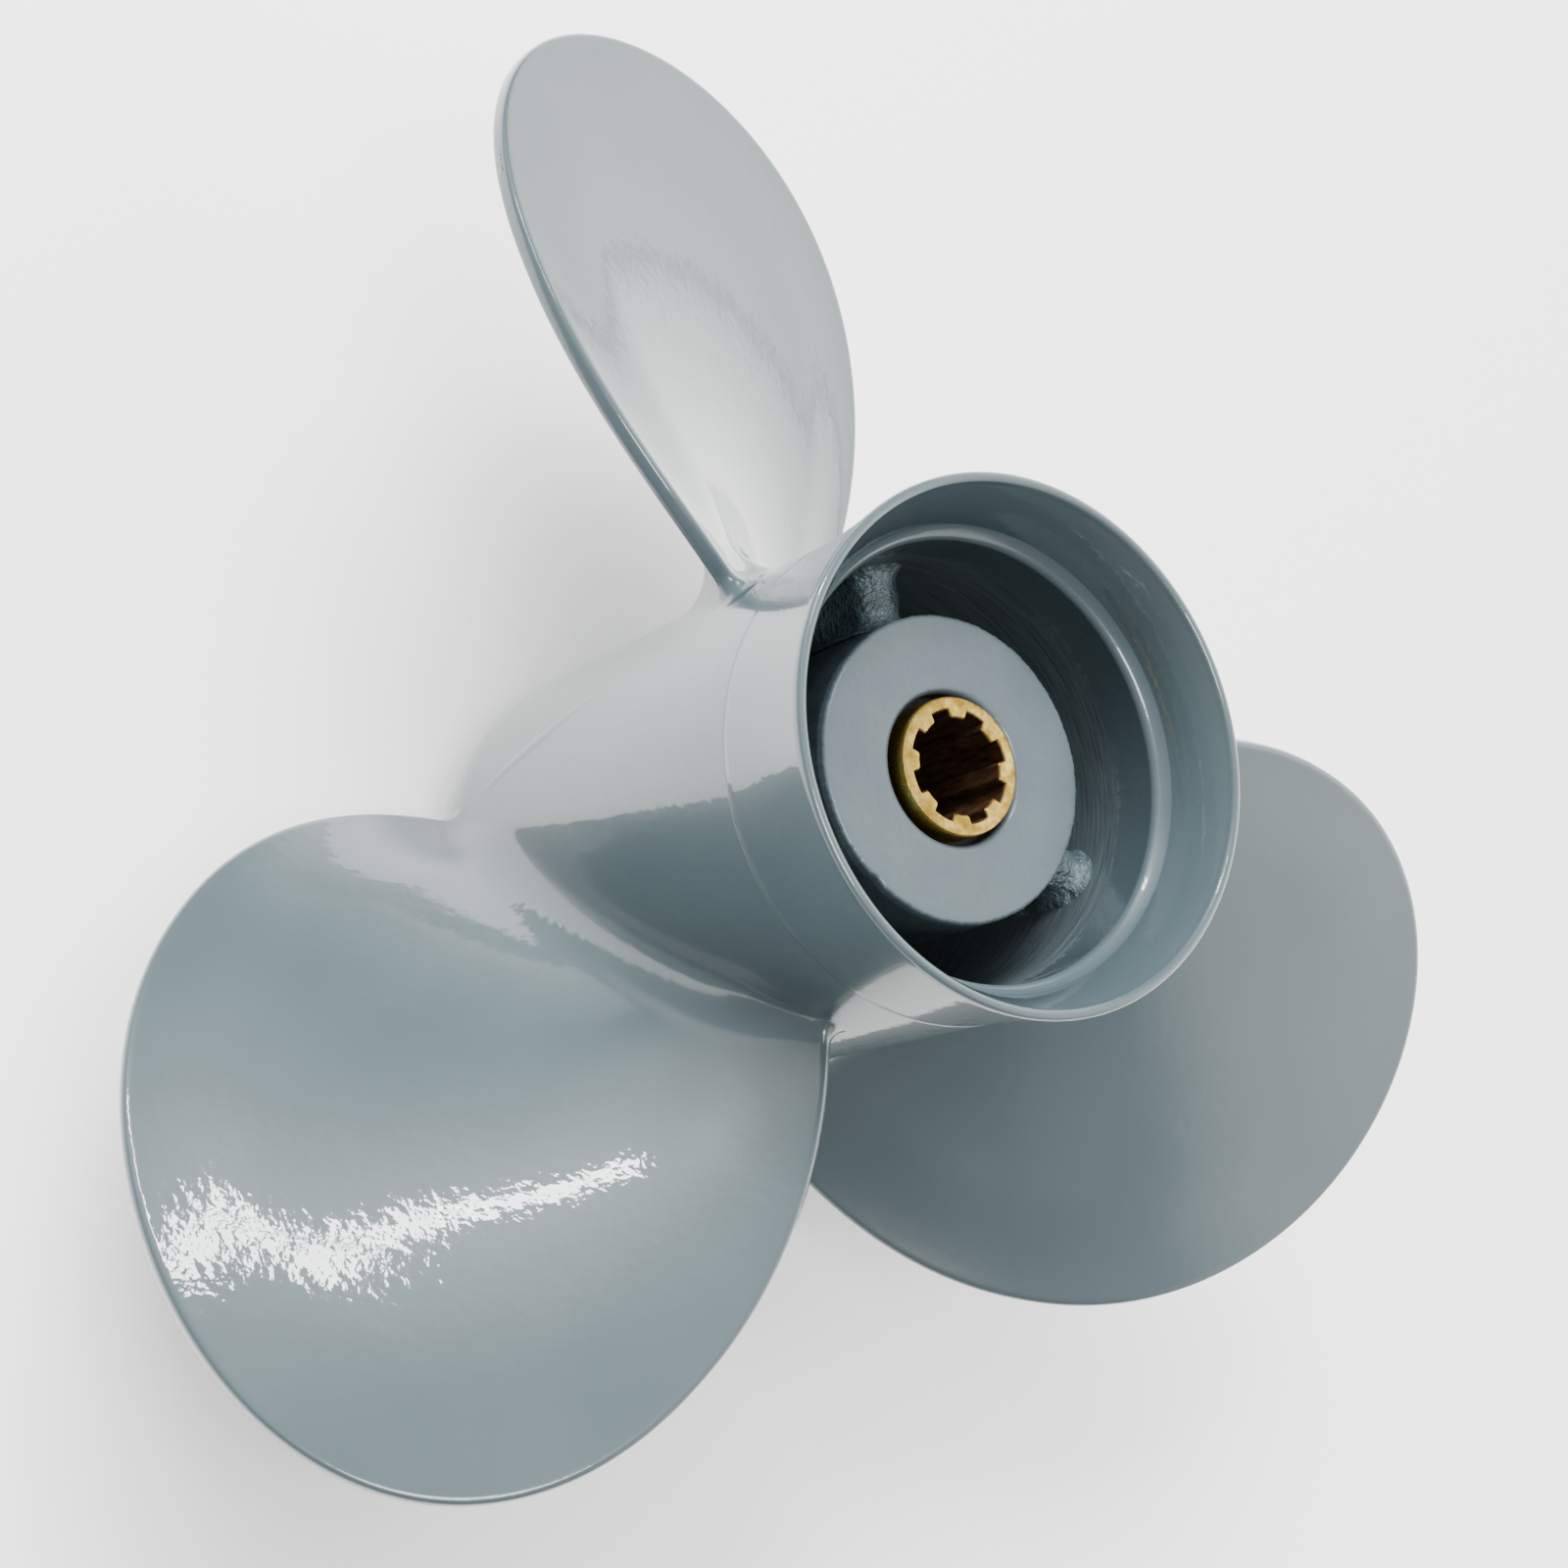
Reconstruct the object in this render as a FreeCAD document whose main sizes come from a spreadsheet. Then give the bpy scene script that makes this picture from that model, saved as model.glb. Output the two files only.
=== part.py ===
"""Three-blade outboard propeller with a through-hub exhaust and a cushioned, splined drive sleeve.

Millimetres. The origin is the centre of the hub's forward face and +Z runs aft along the shaft
axis, so the part stands on its forward face. Blade 1 points along +Y. The casting is one piece of
aluminium in the real object; here its barrel, inner hub, ribs and blades are nodes that meet face
to face. The rubber cushion and the brass sleeve are the drive bush that slips inside it.
"""

import FreeCAD
import Part
import math
import os
import Sketcher
from FreeCAD import Placement, Rotation, Vector

# Driving dimensions, written to the sheet under these names: name, value, what it is.
SIZES = (
    ("rim_shoulder", 109.7, "height where the rim's rounding starts"),
    ("rim_radius", 36.2, "outside of the flared rim"),
    ("rim_inner_radius", 34.65, "inside of the flared rim"),
    ("rim_rounding", 0.8, "crest rounding of the rim"),
    ("flare_arc", 150.0, "radius of the flare's outer profile"),
    ("crease_radius", 34.1, "barrel radius where the flare starts"),
    ("crease_height", 90.3, "height where the flare starts"),
    ("shoulder_radius", 33.2, "barrel radius where the nose rounding starts"),
    ("shoulder_height", 17.0, "height where the nose rounding starts"),
    ("nose_arc", 26.5, "radius of the nose rounding's profile"),
    ("nose_radius", 27.0, "outside of the forward face"),
    ("mouth_radius", 23.8, "inside of the forward face, the exhaust inlet"),
    ("mouth_land", 4.0, "length of the straight collar bore at the mouth"),
    ("mouth_arc", 14.0, "radius of the inner nose profile"),
    ("cavity_forward_radius", 29.2, "cavity radius behind the nose"),
    ("cavity_aft_radius", 29.9, "cavity radius under the ledge"),
    ("ledge_height", 98.6, "lower edge of the ledge's rounding"),
    ("ledge_rounding", 1.3, "rounding of the ledge"),
    ("ledge_crest_radius", 30.7, "radius where the ledge's rounding ends"),
    ("ledge_crest_height", 100.1, "height where the ledge's rounding ends"),
    ("step_radius", 31.5, "outside of the step above the ledge"),
    ("step_height", 101.3, "height of the step above the ledge"),
    ("flare_inner_arc", 30.0, "radius of the flare's inner profile"),
    ("inner_hub_radius", 21.2, "outside of the inner hub at its aft face"),
    ("inner_hub_forward_radius", 20.6, "outside of the inner hub at its forward end"),
    ("inner_hub_aft", 93.9, "height of the inner hub's aft face"),
    ("inner_hub_forward", 14.0, "height of the inner hub's forward end"),
    ("cushion_bore_radius", 17.5, "bore that holds the rubber cushion"),
    ("lip_height", 90.3, "forward side of the lip that stops the cushion"),
    ("lip_hole_radius", 10.4, "hole in the lip, round the sleeve"),
    ("edge_rounding", 0.6, "rounding of the inner hub's aft edges"),
    ("cushion_gap", 0.05, "running clearance between cushion and bore"),
    ("cushion_aft", 89.5, "aft end of the cushion"),
    ("cushion_forward", 24.0, "forward end of the cushion"),
    ("cushion_chamfer", 1.2, "chamfer of the cushion's ends"),
    ("sleeve_radius", 9.5, "outside of the brass sleeve"),
    ("sleeve_aft", 95.3, "aft face of the sleeve"),
    ("sleeve_forward", 12.0, "forward face of the sleeve"),
    ("sleeve_chamfer", 0.4, "chamfer of the sleeve's ends"),
    ("land_radius", 6.55, "bore over the spline's lands"),
    ("groove_radius", 7.7, "bore over the spline's grooves"),
    ("groove_width", 2.8, "width of a spline groove"),
    ("groove_count", 8.0, "number of spline grooves"),
    ("groove_turn", 13.3, "angle of the first groove from +X"),
    ("rib_thickness", 7.0, "thickness of a rib"),
    ("rib_start", 19.4, "radius where a rib's blank starts, inside the inner hub's wall"),
    ("rib_reach", 12.2, "radial length of a rib's blank, into the barrel's wall"),
    ("rib_aft", 86.0, "aft end of a rib"),
    ("rib_forward", 20.0, "forward end of a rib"),
    ("blade_count", 3.0, "number of blades, and of ribs"),
    ("blade_tip", 117.0, "reach of the tip along the blade's spine"),
    ("blade_waist", 72.8, "reach where the blade is widest"),
    ("blade_half_width", 41.7, "half width at the widest reach"),
    ("root_narrowing", 0.00922, "loss of half width per squared millimetre towards the root"),
    ("tip_fullness", 2.16, "power of the tip's rounding, 2 for an ellipse"),
    ("midline_reach", 70.0, "reach where the blade's midline crosses its spine"),
    ("midline_skew", 0.147, "midline's slope towards the trailing edge"),
    ("midline_bend", 0.00086, "midline's bend towards the trailing edge"),
    ("pitch", 266.6, "advance in one turn at the pitch radius"),
    ("pitch_fall", 0.31, "pitch lost for each millimetre further out"),
    ("pitch_radius", 72.4, "radius where the pitch is stated"),
    ("spine_height", 54.3, "height of the blade's middle surface on its spine"),
    ("rake", 0.032, "aft lean of the spine"),
    ("rake_bend", 0.00115, "forward bend of the spine"),
    ("blank_depth", 120.0, "depth of the blocks that a blade's faces bound"),
    ("root_thickness", 5.0, "thickness of a blade at its root"),
    ("tip_thickness", 2.7, "thickness of a blade at its tip"),
    ("core_radius", 30.2, "radius inside the barrel's wall, used to trim the blades"),
    ("core_bottom", 6.0, "lower end of the trimming core"),
    ("core_top", 96.0, "upper end of the trimming core"),
)
SIZE = {name: value for name, value, _ in SIZES}

ROOT_REACH = 20.0  # reach where a blade's blank ends, inside the barrel
GRID_ACROSS = (-48.0, 60.0)  # span of a blade's broad faces across the spine
GRID_REACH = (12.0, 122.0)  # span of a blade's broad faces along the spine
GRID_STEPS = 12
GROOVE_START = 0.8  # a groove's cut starts at this share of the land radius, in the open bore

doc = FreeCAD.newDocument("propeller")


def fill_sheet():
    """Write the driving dimensions to a spreadsheet, each under its own alias."""
    sheet = doc.addObject("Spreadsheet::Sheet", "Sizes")
    for row, (name, number, meaning) in enumerate(SIZES, start=1):
        sheet.set("A%d" % row, name)
        sheet.set("B%d" % row, str(number))
        sheet.setAlias("B%d" % row, name)
        sheet.set("C%d" % row, meaning)
    doc.recompute()


def value(words):
    """Number for a sum of sheet names, such as 'sleeve_aft - sleeve_chamfer'."""
    total = 0.0
    sign = 1.0
    for word in words.split():
        if word in ("+", "-"):
            sign = 1.0 if word == "+" else -1.0
        else:
            total += sign * SIZE[word]
    return total


def bound(words):
    """The same sum as an expression on the sheet."""
    return " ".join(word if word in ("+", "-") else "Sizes." + word for word in words.split())


def plane_of(body, role):
    """One of the body's own origin planes."""
    return next(f for f in body.Origin.OriginFeatures if f.Role == role)


def sketch_on(body, name, role):
    """A new sketch of the body on one of its origin planes."""
    sketch = body.newObject("Sketcher::SketchObject", name)
    sketch.AttachmentSupport = (plane_of(body, role), [""])
    sketch.MapMode = "FlatFace"
    return sketch


def arc_between(start, end, radius, side):
    """Circular arc between two points; side +1 bulges to the left of the way from start to end."""
    chord = end - start
    left = Vector(-chord.y, chord.x, 0).normalize()
    back = math.sqrt(radius * radius - chord.Length * chord.Length / 4.0)
    centre = (start + end) * 0.5 - left * (side * back)
    first, last = (start, end) if side < 0 else (end, start)
    begin = math.atan2(first.y - centre.y, first.x - centre.x)
    finish = math.atan2(last.y - centre.y, last.x - centre.x)
    if finish < begin:
        finish += 2.0 * math.pi
    return Part.ArcOfCircle(Part.Circle(centre, Vector(0, 0, 1), radius), begin, finish)


def ends_of(arc):
    """Sketch numbers of an edge's first and last point: an arc that bulges left runs backwards."""
    return (2, 1) if arc is not None and arc[1] > 0 else (1, 2)


def closed_profile(sketch, corners):
    """Draw a closed outline and bind it to the sheet.

    Each corner is (across, up, None) for a line to the next corner, or (across, up, (radius, side))
    for an arc to it. Lengths are sums of sheet names, and "" is zero.
    """
    points = [Vector(value(across), value(up), 0) for across, up, _ in corners]
    for index, (_, _, arc) in enumerate(corners):
        start, end = points[index], points[(index + 1) % len(points)]
        if arc is None:
            sketch.addGeometry(Part.LineSegment(start, end), False)
        else:
            sketch.addGeometry(arc_between(start, end, value(arc[0]), arc[1]), False)
    for index, (across, up, arc) in enumerate(corners):
        first = ends_of(arc)[0]
        before = (index - 1) % len(corners)
        last = ends_of(corners[before][2])[1]
        sketch.addConstraint(Sketcher.Constraint("Coincident", before, last, index, first))
        bind_distance(sketch, "DistanceX", index, first, across)
        bind_distance(sketch, "DistanceY", index, first, up)
        if arc is not None:
            number = sketch.addConstraint(Sketcher.Constraint("Radius", index, value(arc[0])))
            sketch.setExpression("Constraints[%d]" % number, bound(arc[0]))


def bind_distance(sketch, kind, index, end, words):
    """Fix one coordinate of a point to a sum of sheet names, or to the axis for ""."""
    if not words:
        axis = -1 if kind == "DistanceY" else -2
        sketch.addConstraint(Sketcher.Constraint("PointOnObject", index, end, axis))
        return
    constraint = Sketcher.Constraint(kind, -1, 1, index, end, value(words))
    number = sketch.addConstraint(constraint)
    sketch.setExpression("Constraints[%d]" % number, bound(words))


def turned_body(name, corners):
    """Body of revolution about Z from a profile of radius against height."""
    body = doc.addObject("PartDesign::Body", name)
    body.Label = name
    sketch = sketch_on(body, name + "_profile", "XZ_Plane")
    closed_profile(sketch, corners)
    turn = body.newObject("PartDesign::Revolution", name + "_turn")
    turn.Profile = sketch
    turn.ReferenceAxis = (sketch, ["V_Axis"])
    turn.Angle = 360.0
    sketch.Visibility = False
    doc.recompute()
    return body


def make_hub_barrel():
    """Barrel with a rounded nose, and a flared exhaust rim behind an inner ledge."""
    return turned_body("hub_barrel", (
        ("nose_radius", "", ("nose_arc", -1)),
        ("shoulder_radius", "shoulder_height", None),
        ("crease_radius", "crease_height", ("flare_arc", 1)),
        ("rim_radius", "rim_shoulder", ("rim_rounding", -1)),
        ("rim_inner_radius", "rim_shoulder", ("flare_inner_arc", -1)),
        ("step_radius", "step_height", None),
        ("ledge_crest_radius", "ledge_crest_height", ("ledge_rounding", -1)),
        ("cavity_aft_radius", "ledge_height", None),
        ("cavity_forward_radius", "shoulder_height", ("mouth_arc", 1)),
        ("mouth_radius", "mouth_land", None),
        ("mouth_radius", "", None),
    ))


def make_inner_hub():
    """Tube that holds the cushion, with a lip at its aft end."""
    return turned_body("inner_hub", (
        ("inner_hub_forward_radius", "inner_hub_forward", None),
        ("inner_hub_radius", "inner_hub_aft - edge_rounding", ("edge_rounding", -1)),
        ("inner_hub_radius - edge_rounding", "inner_hub_aft", None),
        ("lip_hole_radius + edge_rounding", "inner_hub_aft", ("edge_rounding", -1)),
        ("lip_hole_radius", "inner_hub_aft - edge_rounding", None),
        ("lip_hole_radius", "lip_height", None),
        ("cushion_bore_radius", "lip_height", None),
        ("cushion_bore_radius", "inner_hub_forward", None),
    ))


def make_rubber_cushion():
    """Rubber ring between the sleeve and the inner hub, chamfered at both ends."""
    outside = "cushion_bore_radius - cushion_gap"
    return turned_body("rubber_cushion", (
        ("sleeve_radius", "cushion_forward", None),
        (outside + " - cushion_chamfer", "cushion_forward", None),
        (outside, "cushion_forward + cushion_chamfer", None),
        (outside, "cushion_aft - cushion_chamfer", None),
        (outside + " - cushion_chamfer", "cushion_aft", None),
        ("sleeve_radius", "cushion_aft", None),
    ))


def ring_sketch(body, name, radii):
    """Sketch of concentric circles at the sleeve's forward face, each bound to a sheet name."""
    sketch = sketch_on(body, name, "XY_Plane")
    sketch.setExpression("AttachmentOffset.Base.z", "Sizes.sleeve_forward")
    for index, radius in enumerate(radii):
        sketch.addGeometry(Part.Circle(Vector(), Vector(0, 0, 1), value(radius)), False)
        sketch.addConstraint(Sketcher.Constraint("Coincident", index, 3, -1, 1))
        number = sketch.addConstraint(Sketcher.Constraint("Radius", index, value(radius)))
        sketch.setExpression("Constraints[%d]" % number, bound(radius))
    return sketch


def groove_sketch(body):
    """Sketch of one square spline groove, from inside the lands out to the groove's floor."""
    sketch = sketch_on(body, "groove_outline", "XY_Plane")
    sketch.setExpression("AttachmentOffset.Base.z", "Sizes.sleeve_forward")
    sketch.setExpression("AttachmentOffset.Rotation.Angle", "Sizes.groove_turn")
    half = value("groove_width") / 2.0
    inner, outer = value("land_radius") * GROOVE_START, value("groove_radius")
    corners = [Vector(*xy, 0) for xy in ((inner, -half), (outer, -half), (outer, half), (inner, half))]
    for index in range(4):
        sketch.addGeometry(Part.LineSegment(corners[index], corners[(index + 1) % 4]), False)
    for index in range(4):
        sketch.addConstraint(Sketcher.Constraint("Coincident", index, 2, (index + 1) % 4, 1))
    sketch.addConstraint(Sketcher.Constraint("Horizontal", 0))
    sketch.addConstraint(Sketcher.Constraint("Horizontal", 2))
    sketch.addConstraint(Sketcher.Constraint("Vertical", 3))
    sketch.addConstraint(Sketcher.Constraint("Symmetric", 1, 1, 1, 2, -1))
    width = sketch.addConstraint(Sketcher.Constraint("DistanceY", 1, 1, 1, 2, 2.0 * half))
    sketch.setExpression("Constraints[%d]" % width, "Sizes.groove_width")
    floor = sketch.addConstraint(Sketcher.Constraint("DistanceX", -1, 1, 1, 1, outer))
    sketch.setExpression("Constraints[%d]" % floor, "Sizes.groove_radius")
    start = sketch.addConstraint(Sketcher.Constraint("DistanceX", -1, 1, 3, 1, inner))
    sketch.setExpression("Constraints[%d]" % start, "Sizes.land_radius * %g" % GROOVE_START)
    return sketch


def make_splined_sleeve():
    """Brass sleeve with square internal spline grooves and chamfered ends."""
    body = doc.addObject("PartDesign::Body", "splined_sleeve")
    body.Label = "splined_sleeve"
    tube = body.newObject("PartDesign::Pad", "sleeve_tube")
    tube.Profile = ring_sketch(body, "sleeve_ring", ("sleeve_radius", "land_radius"))
    tube.setExpression("Length", "Sizes.sleeve_aft - Sizes.sleeve_forward")
    doc.recompute()
    rims = circle_edges(tube.Shape, value("sleeve_radius"))
    chamfer = body.newObject("PartDesign::Chamfer", "sleeve_ends")
    chamfer.Base = (tube, rims)
    chamfer.setExpression("Size", "Sizes.sleeve_chamfer")
    doc.recompute()
    solid_tube = chamfer.Shape.Volume
    groove = body.newObject("PartDesign::Pocket", "spline_groove")
    groove.Profile = groove_sketch(body)
    groove.Type = "ThroughAll"
    groove.Reversed = True
    doc.recompute()
    spline = body.newObject("PartDesign::PolarPattern", "spline_grooves")
    spline.Originals = [groove]
    spline.Axis = (groove.Profile[0], ["N_Axis"])
    spline.Angle = 360.0
    spline.setExpression("Occurrences", "Sizes.groove_count")
    body.Tip = spline
    doc.recompute()
    if body.Shape.Volume > solid_tube - 1.0:
        raise RuntimeError("the spline grooves cut nothing")
    return body


def circle_edges(shape, radius):
    """Names of the circular edges of one radius."""
    names = []
    for index, edge in enumerate(shape.Edges, start=1):
        if isinstance(edge.Curve, Part.Circle) and abs(edge.Curve.Radius - radius) < 1e-6:
            names.append("Edge%d" % index)
    return names


def make_rib(number, hub_walls):
    """One radial rib: a straight blank trimmed by both hub walls."""
    blank = doc.addObject("Part::Box", "rib_blank_%d" % number)
    blank.setExpression("Length", "Sizes.rib_reach")
    blank.setExpression("Width", "Sizes.rib_thickness")
    blank.setExpression("Height", "Sizes.rib_aft - Sizes.rib_forward")
    corner = Vector(value("rib_start"), -value("rib_thickness") / 2.0, value("rib_forward"))
    turn = 90.0 + (number - 1) * 360.0 / SIZE["blade_count"]
    to_angle = Placement(Vector(), Rotation(Vector(0, 0, 1), turn))
    blank.Placement = to_angle.multiply(Placement(corner, Rotation()))
    return trimmed("rib_%d" % number, blank, hub_walls)


def trimmed(label, blank, tool):
    """A blank with the tool's space cut out of it."""
    cut = doc.addObject("Part::Cut", label)
    cut.Label = label
    cut.Base = blank
    cut.Tool = tool
    doc.recompute()
    return cut


def half_width(reach):
    """Half the blade's width at a distance along its spine."""
    past = reach - SIZE["blade_waist"]
    if past < 0:
        return SIZE["blade_half_width"] - SIZE["root_narrowing"] * past * past
    tip = SIZE["blade_tip"] - SIZE["blade_waist"]
    return SIZE["blade_half_width"] * math.sqrt(1.0 - (past / tip) ** SIZE["tip_fullness"])


def midline(reach):
    """Distance of the blade's midline from its spine, towards the trailing edge."""
    past = reach - SIZE["midline_reach"]
    return SIZE["midline_skew"] * past + SIZE["midline_bend"] * past * past


def middle_height(across, reach):
    """Height of the blade's middle surface: a raked helicoid whose pitch falls towards the tip."""
    outward = math.hypot(across, reach) - SIZE["pitch_radius"]
    pitch = SIZE["pitch"] - SIZE["pitch_fall"] * outward
    turn = math.atan2(across, reach) / (2.0 * math.pi)
    lean = SIZE["rake"] * outward - SIZE["rake_bend"] * outward * outward
    return SIZE["spine_height"] + lean + pitch * turn


def thickness(reach):
    """Thickness of a blade, from its root to its tip."""
    share = (reach - ROOT_REACH) / (SIZE["blade_tip"] - ROOT_REACH)
    return SIZE["root_thickness"] + share * (SIZE["tip_thickness"] - SIZE["root_thickness"])


def blade_face(side):
    """One broad face of a blade, wider than its outline; side +1 is aft and -1 is forward."""
    step = 0.01
    rows = []
    for column in range(GRID_STEPS + 1):
        across = GRID_ACROSS[0] + (GRID_ACROSS[1] - GRID_ACROSS[0]) * column / GRID_STEPS
        row = []
        for line in range(GRID_STEPS + 1):
            reach = GRID_REACH[0] + (GRID_REACH[1] - GRID_REACH[0]) * line / GRID_STEPS
            height = middle_height(across, reach)
            rise = (middle_height(across + step, reach) - height) / step
            climb = (middle_height(across, reach + step) - height) / step
            steepness = math.sqrt(1.0 + rise * rise + climb * climb)
            height += side * 0.5 * thickness(reach) * steepness
            row.append(Vector(-across, reach, height))
        rows.append(row)
    surface = Part.BSplineSurface()
    surface.interpolate(rows)
    return surface.toShape()


def blade_outline():
    """Outline of a blade seen along the shaft, closed by a straight line inside the barrel."""
    waist, tip = SIZE["blade_waist"], SIZE["blade_tip"]
    inner = [ROOT_REACH + (waist - ROOT_REACH) * step / 6.0 for step in range(6)]
    outer = [waist + (tip - waist) * math.sin(math.radians(angle)) for angle in range(0, 90, 10)]
    reaches = inner + outer
    leading = [Vector(half_width(reach) - midline(reach), reach, 0) for reach in reaches]
    trailing = [Vector(-half_width(reach) - midline(reach), reach, 0) for reach in reaches]
    curve = Part.BSplineCurve()
    curve.interpolate(leading + [Vector(-midline(tip), tip, 0)] + trailing[::-1])
    root = Part.LineSegment(trailing[0], leading[0])
    return Part.Wire([curve.toShape(), root.toShape()])


def blade_shape():
    """A blade's blank: the space between its two faces, cut to its outline."""
    depth = Vector(0, 0, -SIZE["blank_depth"])
    between = blade_face(1).extrude(depth).cut(blade_face(-1).extrude(depth * 2.0))
    outline = Part.Face(blade_outline()).extrude(depth * -3.0)
    outline.translate(depth)
    return between.common(outline)


def make_blade(number, shape, envelope):
    """One blade: the lofted blank turned to its place and trimmed by the barrel."""
    blank = doc.addObject("Part::Feature", "blade_blank_%d" % number)
    blank.Shape = shape
    turn = (number - 1) * 360.0 / SIZE["blade_count"]
    blank.Placement = Placement(Vector(), Rotation(Vector(0, 0, 1), turn))
    return trimmed("blade_%d" % number, blank, envelope)


def make_envelope(hub_barrel):
    """The barrel with its cavity filled where the blades pass, a tool that isn't written out."""
    core = doc.addObject("Part::Cylinder", "barrel_core")
    core.setExpression("Radius", "Sizes.core_radius")
    core.setExpression("Height", "Sizes.core_top - Sizes.core_bottom")
    core.setExpression("Placement.Base.z", "Sizes.core_bottom")
    envelope = doc.addObject("Part::Fuse", "barrel_envelope")
    envelope.Base = hub_barrel
    envelope.Tool = core
    doc.recompute()
    return envelope


def check_and_write(subparts):
    """Stop on any failed object or bad shape, then write one STEP file for each sub-part."""
    for item in doc.Objects:
        if "Invalid" in item.State or "Error" in item.State:
            raise RuntimeError("%s failed: %s" % (item.Name, item.State))
    os.makedirs("parts", exist_ok=True)
    for part in subparts:
        shape = part.Shape
        if shape.isNull() or not shape.isValid() or len(shape.Solids) != 1:
            raise RuntimeError("%s is not one valid solid" % part.Label)
        shape.exportStep(os.path.join("parts", part.Label + ".step"))
        print("%-16s %9.0f mm3  %s" % (part.Label, shape.Volume, shape.BoundBox))


def main():
    fill_sheet()
    hub_barrel = make_hub_barrel()
    inner_hub = make_inner_hub()
    hub_walls = doc.addObject("Part::Fuse", "hub_walls")
    hub_walls.Base = hub_barrel
    hub_walls.Tool = inner_hub
    doc.recompute()
    envelope = make_envelope(hub_barrel)
    blank = blade_shape()
    subparts = [hub_barrel, inner_hub, make_rubber_cushion(), make_splined_sleeve()]
    for number in range(1, int(SIZE["blade_count"]) + 1):
        subparts.append(make_rib(number, hub_walls))
        subparts.append(make_blade(number, blank, envelope))
    check_and_write(subparts)


main()
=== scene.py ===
"""Three-blade outboard propeller: gloss blue-grey casting, rubber cushion, brass splined sleeve.

The shapes are built in millimetres on the frame's axes: the shaft axis is Z, aft is +Z and the spine of
blade_1 is +Y.
"""

import math

import bpy
import numpy as np
from mathutils import Matrix, Quaternion, Vector, noise


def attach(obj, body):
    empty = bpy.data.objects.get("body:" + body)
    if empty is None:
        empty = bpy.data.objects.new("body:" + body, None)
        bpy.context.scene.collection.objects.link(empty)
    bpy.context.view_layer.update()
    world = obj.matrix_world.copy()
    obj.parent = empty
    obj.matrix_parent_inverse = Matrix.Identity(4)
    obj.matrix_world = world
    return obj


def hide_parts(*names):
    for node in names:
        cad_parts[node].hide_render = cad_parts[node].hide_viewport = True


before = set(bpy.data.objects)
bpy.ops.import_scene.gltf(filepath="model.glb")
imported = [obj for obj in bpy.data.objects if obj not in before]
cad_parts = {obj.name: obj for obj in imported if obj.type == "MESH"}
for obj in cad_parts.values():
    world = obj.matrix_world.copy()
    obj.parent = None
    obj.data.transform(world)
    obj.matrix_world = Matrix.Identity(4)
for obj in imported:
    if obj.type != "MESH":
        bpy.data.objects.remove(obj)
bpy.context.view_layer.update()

MM = 0.001
BLADE_ANGLES = (0.0, 120.0, 240.0)  # degrees anticlockwise from blade_1, seen from aft

# Casting, all lengths in mm.
NOSE_RADIUS = 27.0
SHOULDER = (33.2, 17.0)
CREASE = (34.1, 90.3)
RIM = (36.2, 109.7)
RIM_INSIDE = (34.65, 109.7)
STEP = (31.5, 101.3)
LEDGE_CREST = (30.7, 100.1)
LEDGE_FOOT = (29.9, 98.6)
CAVITY_FORWARD = (29.2, 17.0)
MOUTH = (23.8, 4.0)
NOSE_ARC = 26.5
FLARE_ARC = 150.0
RIM_ROUNDING = 0.8
FLARE_INNER_ARC = 30.0
LEDGE_ROUNDING = 1.3
MOUTH_ARC = 14.0
INNER_HUB_AFT = 93.9
INNER_HUB_FORWARD = 14.0
INNER_HUB_RADIUS = 21.2
INNER_HUB_FORWARD_RADIUS = 20.6
CUSHION_BORE = 17.5
LIP_HEIGHT = 90.3
LIP_HOLE = 10.4

# Blades.
TIP = 116.9
WAIST = 72.8
HALF_WIDTH = 41.62
EDGE_RADIUS = 1.35
EDGE_SQUARENESS = 3.2  # 2 is a half-round edge; more is flatter with tighter corners
ROOT_THICKNESS = 5.0
TIP_THICKNESS = 2.9
EDGE_FILLET = 3.6
FACE_FILLET = 7.0
SUNK = 0.012  # a blade's foot starts this far inside the barrel

# Ribs and sleeve.
RIB_HALF_THICKNESS = 3.5
RIB_AFT = 86.0
RIB_FORWARD = 20.0
SLEEVE_RADIUS = 9.5
SLEEVE_AFT = 95.3
SLEEVE_FORWARD = 12.0
LAND_RADIUS = 6.55
GROOVE_RADIUS = 7.7
GROOVE_HALF_WIDTH = 1.4
GROOVE_COUNT = 8
GROOVE_TURN = 13.3

FLOOR = -0.0002  # metres; the floor is just clear of the forward face


# ---------------------------------------------------------------- mesh helpers


def arc(start, end, radius, bulge, steps):
    """Points on a circular arc from start up to, not including, end; bulge +1 is left of the way."""
    start, end = np.array(start, float), np.array(end, float)
    chord = end - start
    length = np.hypot(*chord)
    left = np.array((-chord[1], chord[0])) / length
    centre = (start + end) / 2 - left * bulge * math.sqrt(radius**2 - length**2 / 4)
    first = math.atan2(*(start - centre)[::-1])
    turn = math.atan2(*(end - centre)[::-1]) - first
    turn = (turn + math.pi) % (2 * math.pi) - math.pi
    angles = first + turn * np.arange(steps) / steps
    return [tuple(centre + radius * np.array((math.cos(a), math.sin(a)))) for a in angles]


def grid_faces(columns, rows, wrap_columns, wrap_rows):
    """Quads of a grid whose points run along the rows first: point = column * rows + row."""
    a, b = np.meshgrid(
        np.arange(columns if wrap_columns else columns - 1),
        np.arange(rows if wrap_rows else rows - 1),
        indexing="ij",
    )
    c, d = (a + 1) % columns, (b + 1) % rows
    quads = (a * rows + b, c * rows + b, c * rows + d, a * rows + d)
    return np.stack(quads, axis=-1).reshape(-1, 4)


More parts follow.
